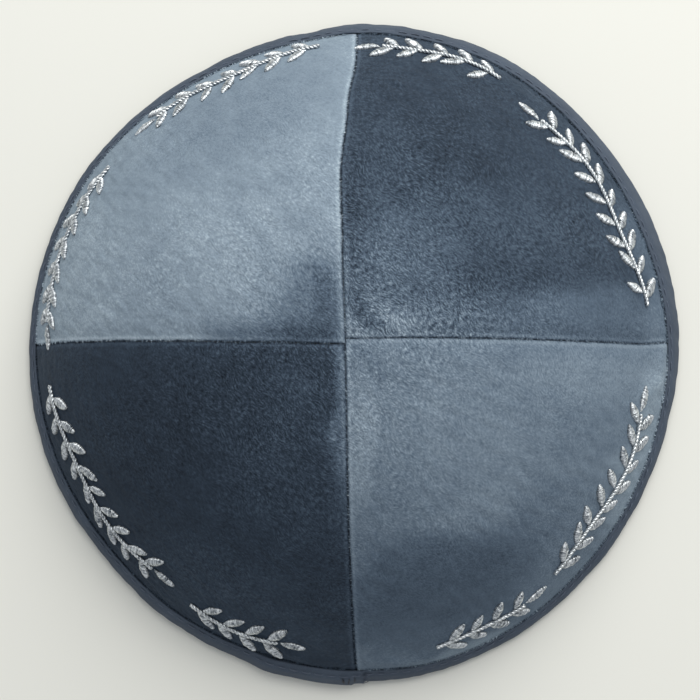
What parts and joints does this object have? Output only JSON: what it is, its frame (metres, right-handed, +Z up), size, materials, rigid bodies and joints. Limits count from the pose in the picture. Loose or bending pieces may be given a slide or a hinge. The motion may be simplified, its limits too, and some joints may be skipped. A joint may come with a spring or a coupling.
{
  "type": "kippah skullcap",
  "caption": "Round cloth skullcap: a hollow dome of velvet panels sewn edge to edge, its rim bound with folded tape.",
  "frame": {"origin": "on the plane the rim rests on, under the middle of the cap", "axes": "+Z up through the crown, +X to the cap's right, -Y to its front, where the binding's ends meet"},
  "size_m": [0.1716, 0.1746, 0.0516],
  "materials": {
    "velvet_back_right": "short-pile velvet, nap lying away from the light",
    "velvet_back_left": "short-pile velvet, nap lying towards the light",
    "velvet_front_left": "short-pile velvet, nap lying away from the light",
    "velvet_front_right": "short-pile velvet, nap lying across the light",
    "binding_tape": "dull folded cloth tape",
    "metal_thread": "silver metallic embroidery thread in raised satin stitch",
    "inner_cloth": "plain woven cotton"
  },
  "bodies": {
    "root": {"crown_panel_back_right": "velvet_back_right", "crown_panel_back_left": "velvet_back_left", "crown_panel_front_left": "velvet_front_left", "crown_panel_front_right": "velvet_front_right", "rim_binding": "binding_tape"}
  },
  "joints": []
}
